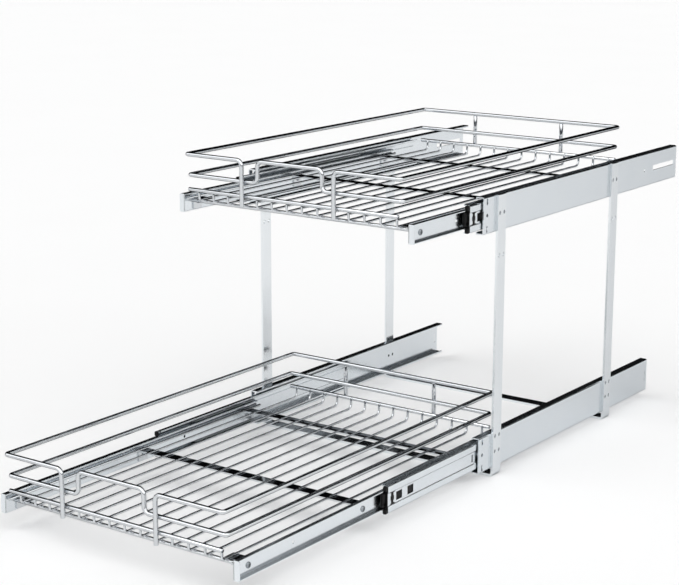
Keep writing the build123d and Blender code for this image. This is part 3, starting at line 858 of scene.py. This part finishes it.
for name, tier in tiers.items():
    for side_name, side in SIDES.items():
        bm = bmesh.new()
        for form in lumps:
            lump(bm, side, tier, *form)
        finish_piece(
            f"{name}_slide_nose_{side_name}_moulded", bm, f"{name}_middle_{side_name}",
            acetal, [f"{name}_slide_nose_{side_name}"],
        )
print("noses reach", BUMPER_REACH, "mm ahead of the middle members")

# %% [markdown]
# ## Release levers
# The lever turns on the pin in the inner member. It is a flat moulding with a round boss,
# a tail to press and a tongue that drops to its tip, so its side view is drawn as an
# outline, pushed to its thickness and eased all round, and a boss is laid over it.

# %% Release levers
LEVER_GAP = 0.3
LEVER_THICKNESS = 3.4
LEVER_ARM_INSET = 0.5  # the arm lies a little behind the boss's face
LEVER_ARM_SHARE = 0.75  # of the boss's thickness
LEVER_BOSS_RADIUS = 4.6
LEVER_PIN_PLAY = 0.12
LEVER_OUTLINE = (
    (11.0, 1.5), (9.5, 1.9), (3.0, 1.7), (-15.0, 1.7), (-24.0, 0.6), (-30.2, -1.4),
    (-31.0, -2.4), (-30.4, -3.3), (-29.0, -3.3), (-22.0, -2.2), (-15.0, -1.7), (9.5, -1.7),
    (11.0, -1.3),
)

for name, tier in tiers.items():
    for side_name, side in SIDES.items():
        pivot_y = tier.inner_front + LEVER_PIVOT_INSET
        bm = bmesh.new()
        outer = x_at(side, inner_web - LEVER_GAP)
        push = Vector((side * LEVER_THICKNESS, 0, 0))
        arm_x = outer + side * LEVER_ARM_INSET
        outline = [(arm_x, pivot_y + y, tier.slide_z + z) for y, z in LEVER_OUTLINE]
        prism(bm, outline, push * LEVER_ARM_SHARE)
        middle = Vector((outer, pivot_y, tier.slide_z)) + push / 2
        pin(bm, middle, (1, 0, 0), LEVER_BOSS_RADIUS, LEVER_THICKNESS, 32)
        tools = bmesh.new()
        pin(tools, middle, (1, 0, 0), LEVER_PIN_RADIUS + LEVER_PIN_PLAY, 3 * LEVER_THICKNESS, 24)
        finish_piece(
            f"{name}_release_lever_{side_name}_moulded", punched(bm, tools),
            f"{name}_lever_{side_name}", acetal,
            [f"{name}_release_lever_{side_name}"], broken_edge=0.3,
        )
print("levers:", 2 * len(tiers))

# %% [markdown]
# ## Balls and cages
# The balls are bearing balls, so here they are truly round, six in each cage. The cages
# are thin pressed strips whose CAD shape is already right, and they keep it and only get
# their finish.

# %% Balls and cages
BALL_RADII = {"outer": 2.0, "inner": 1.7}
BALL_PITCH = 40.0
for name in TIERS:
    for side_name in SIDES:
        for kind, radius in BALL_RADII.items():
            node = f"{name}_{kind}_balls_{side_name}"
            low, high = box_mm(node)
            middle = (low + high) / 2
            bm = bmesh.new()
            for z in (low.z + radius, high.z - radius):
                for step in (-1, 0, 1):
                    spot = Matrix.Translation((middle.x, middle.y + step * BALL_PITCH, z))
                    bmesh.ops.create_uvsphere(
                        bm, u_segments=16, v_segments=10, radius=radius, matrix=spot
                    )
            body = f"{name}_{kind}_bearing_{side_name}"
            finish_piece(f"{node}_round", bm, body, ball_steel, [node])
            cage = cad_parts[f"{name}_{kind}_cage_{side_name}"]
            cage.data.materials.clear()
            cage.data.materials.append(cage_zinc)
print("balls:", 6 * 2 * 2 * 2)

# %% [markdown]
# ## Wire
# A wire is drawn as it is bent in the shop: a circle is pushed along each straight run and
# spun round each bend about the bend's own centre. Spin keeps the section round and square
# to the wire, where a bevelled curve would pinch in tight corners. Cut ends are capped and
# slightly broken.

# %% Bend a wire
BEND_STEPS = 6
END_BREAK = 0.12  # of the diameter
CLOSING_GAP = 0.02  # of the diameter


def draw_wire(bm, corners, diameter, radii=(), sides=16, closed=False):
    """One round wire through its corners, with a bend radius for each inner corner."""
    corners = [Vector(corner) for corner in corners]
    if closed:
        start = (corners[-1] + corners[0]) / 2
        corners = [start, *corners, start]
    here = corners[0]
    heading = (corners[1] - here).normalized()
    turn = heading.to_track_quat("Z", "X").to_matrix().to_4x4()
    made = bmesh.ops.create_circle(
        bm, cap_ends=False, segments=sides, radius=diameter / 2,
        matrix=Matrix.Translation(here) @ turn,
    )
    start_ring = ring = list({edge for vert in made["verts"] for edge in vert.link_edges})
    ring_verts = list(made["verts"])
    for number, corner in enumerate(corners[1:], start=1):
        last = number == len(corners) - 1
        following = corner if last else corners[number + 1]
        turn_to = heading if last else (following - corner).normalized()
        reach = 0.0 if last else radii[number - 1] * math.tan(heading.angle(turn_to) / 2)
        made = bmesh.ops.extrude_edge_only(bm, edges=ring)
        ring_verts = new_verts(made)
        bmesh.ops.translate(bm, verts=ring_verts, vec=corner - heading * reach - here)
        verts = set(ring_verts)
        ring = list({e for v in verts for e in v.link_edges if e.other_vert(v) in verts})
        if last:
            break
        axis = heading.cross(turn_to).normalized()
        centre = corner - heading * reach + axis.cross(heading) * radii[number - 1]
        made = bmesh.ops.spin(
            bm, geom=ring, cent=centre, axis=axis, angle=heading.angle(turn_to), steps=BEND_STEPS,
            use_merge=False,
        )
        ring_verts = [part for part in made["geom_last"] if isinstance(part, bmesh.types.BMVert)]
        verts = set(ring_verts)
        ring = list({e for v in verts for e in v.link_edges if e.other_vert(v) in verts})
        here = corner + turn_to * reach
        heading = turn_to
    if closed:
        joint = [vert for edge in start_ring + ring for vert in edge.verts]
        bmesh.ops.remove_doubles(bm, verts=list(set(joint)), dist=diameter * CLOSING_GAP)
        return
    for end in (start_ring, ring):
        caps = bmesh.ops.holes_fill(bm, edges=end, sides=sides)
        bmesh.ops.bevel(
            bm, geom=[edge for face in caps["faces"] for edge in face.edges],
            offset=diameter * END_BREAK, offset_type="OFFSET", segments=2, profile=0.5,
            affect="EDGES", clamp_overlap=True, material=-1,
        )


def finish_wire(name, bm, tier, node):
    """A chrome wire piece of a basket."""
    finish_piece(
        f"{tier.name}_{name}", bm, f"{tier.name}_basket", chrome,
        [f"{tier.name}_{node}"],
    )


print("steps in a bend:", BEND_STEPS)

# %% [markdown]
# ## Deck wires
# Fourteen thin wires make the deck. Each is turned up sharply at the front and more gently
# at the rear, and both ends stand inside the lip wires, where a spot weld has squeezed a
# small bead out of the joint. One wire is drawn, and the rest are stamped from it.

# %% Deck wires
DECK_COUNT = 14
DECK_LEFT_GAP = 11.9
DECK_RIGHT_GAP = 9.15
DECK_END_INSET = 3.6
DECK_END_RISE = 1.0
DECK_BENDS = (2.4, 6.5)
WELD_BEAD = (1.7, 1.0, 1.9)
BEAD_SHIFT = 0.5  # from the middle of the joint towards the deck

for name, tier in tiers.items():
    front, rear = tier.lip_front + DECK_END_INSET, tier.lip_rear - DECK_END_INSET
    top = tier.lip_z + DECK_END_RISE
    bm = bmesh.new()
    draw_wire(
        bm, [(0, front, top), (0, front, tier.deck_z), (0, rear, tier.deck_z), (0, rear, top)],
        DECK_WIRE, DECK_BENDS, sides=12,
    )
    front_weld = (tier.lip_front + front) / 2 + BEAD_SHIFT
    rear_weld = (tier.lip_rear + rear) / 2 - BEAD_SHIFT
    for y in (front_weld, rear_weld):
        bead = Matrix.LocRotScale((0, y, tier.lip_z), None, WELD_BEAD)
        bmesh.ops.create_icosphere(bm, subdivisions=2, radius=1.0, matrix=bead)
    one_wire = bpy.data.meshes.new("deck wire")
    bm.to_mesh(one_wire)
    bm.free()
    first, last = DECK_LEFT_GAP - tier.guard_x, tier.guard_x - DECK_RIGHT_GAP
    bm = bmesh.new()
    for number in range(DECK_COUNT):
        x = first + (last - first) * number / (DECK_COUNT - 1)
        stamp(bm, one_wire, Matrix.Translation((x, 0, 0)))
    finish_wire("deck_wires_bent", bm, tier, "deck_wires")
print("deck wires stand", round((last - first) / (DECK_COUNT - 1), 2), "mm apart")

# %% [markdown]
# ## Lip, side and cross wires
# Straight wires close the ends of the deck and run under it: the thick lips at front and
# rear, the thin side wires beside the slides and one cross wire behind the front bends.

# %% Straight wires
LIP_FRONT_RIGHT_GAP = 4.9

for name, tier in tiers.items():
    bm = bmesh.new()
    for y, right in (
        (tier.lip_front, tier.guard_x - LIP_FRONT_RIGHT_GAP), (tier.lip_rear, tier.lip_right),
    ):
        draw_wire(bm, [(tier.lip_left, y, tier.lip_z), (right, y, tier.lip_z)], LIP_WIRE)
    finish_wire("lip_wires_cut", bm, tier, "lip_wires")

    bm = bmesh.new()
    for side in SIDES.values():
        x = side * tier.side_x
        ends = [(x, y, tier.deck_z) for y in (tier.side_front, tier.side_rear)]
        draw_wire(bm, ends, SIDE_WIRE)
    finish_wire("side_wires_cut", bm, tier, "side_wires")

    low, high = box_mm(f"{name}_front_cross_wire")
    y, z = (low.y + high.y) / 2, (low.z + high.z) / 2
    bm = bmesh.new()
    draw_wire(bm, [(low.x, y, z), (high.x, y, z)], CROSS_WIRE)
    finish_wire("front_cross_wire_cut", bm, tier, "front_cross_wire")
print("lip wires are", LIP_WIRE, "mm thick")

# %% [markdown]
# ## Guard wires
# Two thick wires guard each basket. The top one starts at the deck, rises as a post,
# turns along the front, runs right round the basket and ends in a second post. The low
# one is a closed loop whose middle rises at the front to make the grip. Level corners are
# bent tightly and the rises more gently, as the photo shows.

# %% Guard wires and stays
POST_LEFT, POST_RIGHT = -70.0, 64.0
GRIP_LEFT, GRIP_RIGHT = -50.0, 44.0
STAY_X = 68.5
RISE_BEND = 7.0
CORNER_BEND = 3.0
GUARD_SIDES = 20

for name, tier in tiers.items():
    x, front, rear, top = tier.guard_x, tier.front, tier.rear, tier.top_z
    bm = bmesh.new()
    draw_wire(
        bm,
        [
            (POST_LEFT, front, tier.deck_z), (POST_LEFT, front, top), (-x, front, top),
            (-x, rear, top), (x, rear, top), (x, front, top), (POST_RIGHT, front, top),
            (POST_RIGHT, front, tier.deck_z),
        ],
        GUARD_WIRE,
        (RISE_BEND, *(4 * [CORNER_BEND]), RISE_BEND),
        sides=GUARD_SIDES,
    )
    finish_wire("top_guard_wire_bent", bm, tier, "top_guard_wire")

    front, rear, low = tier.lip_front, tier.lip_rear, tier.low_z
    bm = bmesh.new()
    draw_wire(
        bm,
        [
            (-x, rear, low), (-x, front, low), (GRIP_LEFT, front, low), (GRIP_LEFT, front, top),
            (GRIP_RIGHT, front, top), (GRIP_RIGHT, front, low), (x, front, low), (x, rear, low),
        ],
        GUARD_WIRE,
        (CORNER_BEND, CORNER_BEND, *(4 * [RISE_BEND]), CORNER_BEND, CORNER_BEND),
        sides=GUARD_SIDES,
        closed=True,
    )
    finish_wire("low_guard_wire_bent", bm, tier, "low_guard_wire")

    bm = bmesh.new()
    low, high = box_mm(f"{name}_rear_stays")
    for side in SIDES.values():
        draw_wire(
            bm, [(side * STAY_X, tier.rear, low.z), (side * STAY_X, tier.rear, high.z)], GUARD_WIRE
        )
    finish_wire("rear_stays_cut", bm, tier, "rear_stays")
print("guard rises", round(tiers["lower"].top_z - tiers["lower"].deck_z, 1), "mm above the deck")

# %% [markdown]
# ## Cross bars
# Two flat bars cross under each deck. Their ends are bent down and screwed to the inner
# members, so they carry the load. The first pair of screws holds two short brackets of the
# same shape, and the front cross wire passes just in front of them.

# %% Cross bars
BAR_SHEET = 2.0
BAR_BEND = 0.7
BRACKET_LENGTH = 24.0
for name, tier in tiers.items():
    low, high = box_mm(f"{name}_cross_bars")
    inside = high.z - BAR_SHEET
    whole_bar = [
        (low.x, low.z), (low.x, high.z), (high.x, high.z), (high.x, low.z),
        (high.x - BAR_SHEET, low.z), (high.x - BAR_SHEET, inside),
        (low.x + BAR_SHEET, inside), (low.x + BAR_SHEET, low.z),
    ]
    brackets = [
        [
            (end, low.z), (end, high.z), (end - side * BRACKET_LENGTH, high.z),
            (end - side * BRACKET_LENGTH, inside), (end - side * BAR_SHEET, inside),
            (end - side * BAR_SHEET, low.z),
        ]
        for side, end in ((-1, low.x), (1, high.x))
    ]
    width = 2 * (tier.inner_front + SCREW_INSETS[0] - low.y)
    bm = bmesh.new()
    for inset in SCREW_INSETS:
        y = tier.inner_front + inset - width / 2
        for outline in brackets if inset == SCREW_INSETS[0] else [whole_bar]:
            prism(bm, [(x, y, z) for x, z in outline], (0, width, 0))
    bend(bm, [(low.x, high.z), (high.x, high.z)], BAR_BEND + BAR_SHEET, 6)
    bend(bm, [(low.x + BAR_SHEET, inside), (high.x - BAR_SHEET, inside)], BAR_BEND, 4)
    finish_piece(
        f"{name}_cross_bars_bent", bm, f"{name}_basket", chrome,
        [f"{name}_cross_bars"], broken_edge=0.3,
    )
print("cross bars are", round(width, 1), "mm wide")

# %% [markdown]
# ## Floor
# The studio floor is a large sheet of plain white paper, matt because its fibres scatter
# the light, with hardly visible clouds from how they settled. The sun and the sky light it,
# so the organiser leaves its soft shadow there, and the metal mirrors the same white.

# %% Floor
FLOOR_HALF = 30.0
CLOUDS_PER_METRE = 3.0
paper, tree = new_material("matt white studio paper")
place = put(tree, "ShaderNodeTexCoord").outputs["Object"]
tone = put(
    tree,
    "ShaderNodeMix",
    {6: linear("#FDFDFD"), 7: linear("#FBFBFB")},
    {0: cloud(tree, place, CLOUDS_PER_METRE)},
    data_type="RGBA",
)
shader = put(tree, "ShaderNodeBsdfDiffuse", links={"Color": tone.outputs[2]})
put(tree, "ShaderNodeOutputMaterial", links={"Surface": shader.outputs["BSDF"]})

bm = bmesh.new()
bmesh.ops.create_grid(bm, x_segments=1, y_segments=1, size=FLOOR_HALF)
floor_mesh = bpy.data.meshes.new("studio_floor")
bm.to_mesh(floor_mesh)
bm.free()
floor_mesh.materials.append(paper)
floor = bpy.data.objects.new("studio_floor", floor_mesh)
scene.collection.objects.link(floor)
print("floor is", 2 * FLOOR_HALF, "m wide")

# %% [markdown]
# ## Light
# Chrome shows nothing but its surroundings, so the sky is a studio in itself: a white dome
# with a black curtain hung behind the organiser, as seen from the photo's camera, and a
# dim line round the horizon. The curtain's reflection is the dark line along the top of
# each wire and each bend. A wide, weak sun gives the shapes a direction.

# %% Sky and sun
CURTAIN_WAY = (-0.46, 0.80, 0.38)  # from the organiser to the middle of the curtain
CURTAIN_EDGE = (0.40, 0.46)  # cosines of the angles from that way where it ends
HORIZON_LINE = (0.10, 0.16)  # sines of the heights where the dim line ends
SKY_WHITE = "#FFFFFF"
CURTAIN_BLACK = "#0C0D0E"
HORIZON_GREY = "#34373A"
SKY_STRENGTH = 1.6
world = bpy.data.worlds.new("studio sky")
scene.world = world
world.use_nodes = True
tree = world.node_tree
tree.nodes.clear()
place = put(tree, "ShaderNodeTexCoord")
way = put(
    tree,
    "ShaderNodeVectorMath",
    {1: CURTAIN_WAY},
    {0: place.outputs["Generated"]},
    operation="DOT_PRODUCT",
)
curtain = put(
    tree,
    "ShaderNodeMapRange",
    {"From Min": CURTAIN_EDGE[0], "From Max": CURTAIN_EDGE[1]},
    {"Value": way.outputs["Value"]},
)
height = put(tree, "ShaderNodeSeparateXYZ", links={"Vector": place.outputs["Generated"]})
clear_of_horizon = put(
    tree,
    "ShaderNodeMapRange",
    {"From Min": HORIZON_LINE[0], "From Max": HORIZON_LINE[1]},
    {"Value": height.outputs["Z"]},
)
dome = put(
    tree,
    "ShaderNodeMix",
    {6: linear(HORIZON_GREY), 7: linear(SKY_WHITE)},
    {0: clear_of_horizon.outputs["Result"]},
    data_type="RGBA",
)
studio = put(
    tree,
    "ShaderNodeMix",
    {7: linear(CURTAIN_BLACK)},
    {0: curtain.outputs["Result"], 6: dome.outputs[2]},
    data_type="RGBA",
)
sky = put(
    tree, "ShaderNodeBackground", {"Strength": SKY_STRENGTH}, {"Color": studio.outputs[2]}
)
put(tree, "ShaderNodeOutputWorld", links={"Surface": sky.outputs["Background"]})

SUN_STRENGTH = 0.3
SUN_SPREAD = 25.0
SUN_TILT = (38.0, 0.0, -20.0)
lamp = bpy.data.lights.new("soft sun", "SUN")
lamp.energy = SUN_STRENGTH
lamp.angle = math.radians(SUN_SPREAD)
sun = bpy.data.objects.new("soft sun", lamp)
sun.rotation_euler = [math.radians(angle) for angle in SUN_TILT]
scene.collection.objects.link(sun)
print("sky strength", SKY_STRENGTH, "sun strength", SUN_STRENGTH)
